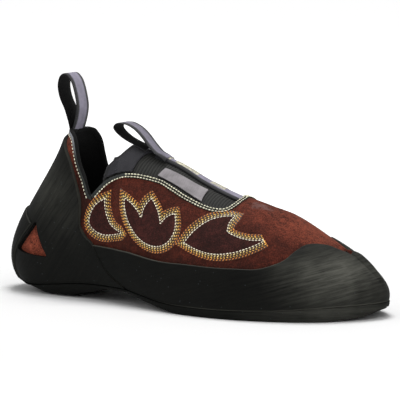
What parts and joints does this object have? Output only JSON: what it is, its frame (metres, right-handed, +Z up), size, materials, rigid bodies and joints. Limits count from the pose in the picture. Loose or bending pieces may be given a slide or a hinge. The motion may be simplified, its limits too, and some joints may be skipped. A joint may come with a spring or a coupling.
{
  "type": "climbing shoe",
  "caption": "Slip-on climbing shoe for the right foot, with a pointed toe, elastic instep, rubber rand and two webbing pull loops.",
  "frame": {"origin": "middle of the heel's flat spot on the floor", "axes": "+X to the toe, +Y to the inner side of the foot, +Z up"},
  "size_m": [0.2632, 0.0948, 0.1441],
  "materials": {
    "suede": "napped",
    "rubber": "matte",
    "elastic": "ribbed",
    "webbing": "woven",
    "label": "woven",
    "board": "matte"
  },
  "bodies": {
    "root": {"outsole": "rubber", "insole": "board", "upper": "suede", "toe_rand": "rubber", "heel_rand": "rubber", "heel_cap": "rubber", "tongue": "elastic", "tongue_band": "webbing", "instep_strap": "webbing", "side_label": "label", "heel_pull_loop": "webbing", "front_pull_loop": "webbing"}
  },
  "joints": []
}
